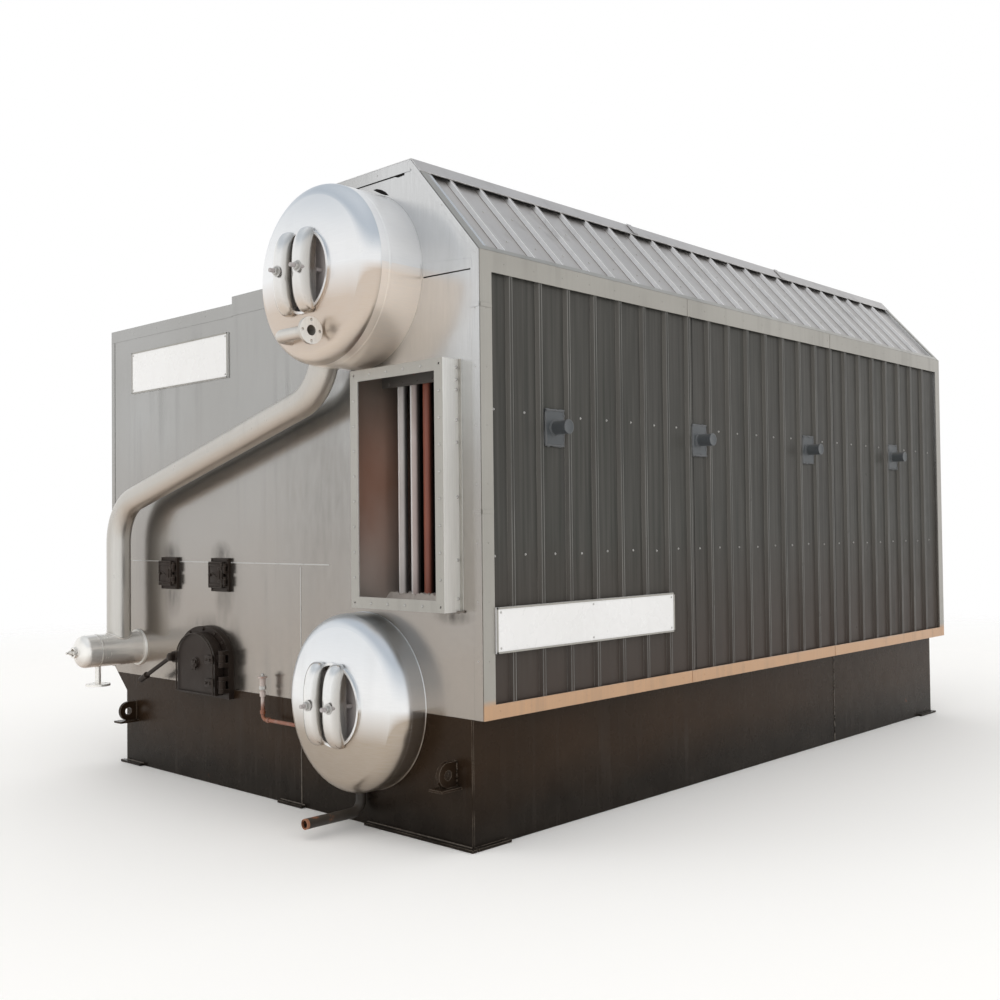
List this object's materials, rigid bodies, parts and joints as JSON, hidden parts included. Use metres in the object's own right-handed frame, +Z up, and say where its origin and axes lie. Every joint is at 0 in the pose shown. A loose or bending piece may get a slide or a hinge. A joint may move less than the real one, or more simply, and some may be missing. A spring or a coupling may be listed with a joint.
{
  "type": "industrial boiler",
  "caption": "Packaged water-tube boiler block: clad casing on a steel base, two domed drums with manholes, downcomer, header, open flue outlet, fire door and peep doors.",
  "frame": {"origin": "on the ground under the middle of the whole outline", "axes": "+X across the end wall to the right as one faces it, +Y from the drum-end wall to the far end, +Z up"},
  "size_m": [3.776, 6.448, 3.48],
  "materials": {
    "base_steel": "gloss black-brown paint over steel plate",
    "hearth_steel": "dark grate iron",
    "wall_sheet": "satin aluminium cladding sheet",
    "side_sheet": "dark grey coated ribbed sheet",
    "roof_sheet": "grey coated ribbed sheet",
    "trim_sheet": "plain satin aluminium flashing",
    "drum_sheet": "bright spun aluminium cladding",
    "cover_steel": "dark grey painted steel",
    "pipe_sheet": "aluminium paint and cladding",
    "tube_steel": "primed tube steel",
    "red_oxide": "red oxide primer, sooty",
    "casting": "matte black painted casting",
    "copper_pipe": "rusty small bore pipe",
    "black_pipe": "black pipe with a rusty cut end",
    "port_steel": "blue-grey painted steel",
    "white_sign": "white enamelled sheet, bare"
  },
  "bodies": {
    "boiler_block": {"bank_tubes": "tube_steel", "base_front": "base_steel", "base_left": "base_steel", "base_rear": "base_steel", "base_right": "base_steel", "blowdown_pipe": "black_pipe", "downcomer": "pipe_sheet", "drum_wall": "wall_sheet", "end_wall": "wall_sheet", "fire_door_frame": "casting", "flue_collar": "trim_sheet", "gas_baffle": "red_oxide", "head_nozzle": "pipe_sheet", "header_cap": "pipe_sheet", "header_drain": "pipe_sheet", "hearth": "hearth_steel", "low_roof": "wall_sheet", "lower_drum_shell": "drum_sheet", "lower_head_front": "drum_sheet", "lower_head_rear": "drum_sheet", "lower_manhole_cover": "cover_steel", "lower_yokes": "drum_sheet", "nameplate": "white_sign", "peep_frame_a": "casting", "peep_frame_b": "casting", "rear_drum_wall": "wall_sheet", "rear_wall": "wall_sheet", "ridge_cap": "trim_sheet", "roof_slope_left": "roof_sheet", "roof_slope_right": "roof_sheet", "sample_pipe": "copper_pipe", "side_header": "pipe_sheet", "side_ports": "port_steel", "side_sign": "white_sign", "side_trims": "trim_sheet", "side_wall_left": "side_sheet", "side_wall_right": "side_sheet", "top_roof": "wall_sheet", "upper_drum_shell": "drum_sheet", "upper_head_front": "drum_sheet", "upper_head_rear": "drum_sheet", "upper_manhole_cover": "cover_steel", "upper_yokes": "drum_sheet"},
    "fire_door": {"fire_door": "casting"},
    "fire_latch": {"fire_door_latch": "casting"},
    "peep_door_a": {"peep_door_a": "casting"},
    "peep_door_b": {"peep_door_b": "casting"}
  },
  "joints": [
    {"name": "fire_door_hinge", "type": "hinge", "parent": "boiler_block", "child": "fire_door", "pos_m": [-0.32853, -2.755, 0.71308], "axis": [0, 0, 1], "range_deg": [0, 110]},
    {"name": "fire_latch_turn", "type": "hinge", "parent": "fire_door", "child": "fire_latch", "pos_m": [-0.84953, -2.776, 0.772], "axis": [0, 1, 0], "range_deg": [0, 50]},
    {"name": "peep_door_a_hinge", "type": "hinge", "parent": "boiler_block", "child": "peep_door_a", "pos_m": [-0.94408, -2.715, 1.296], "axis": [0, 0, 1], "range_deg": [0, 110]},
    {"name": "peep_door_b_hinge", "type": "hinge", "parent": "boiler_block", "child": "peep_door_b", "pos_m": [-0.35615, -2.715, 1.296], "axis": [0, 0, 1], "range_deg": [0, 110]}
  ]
}
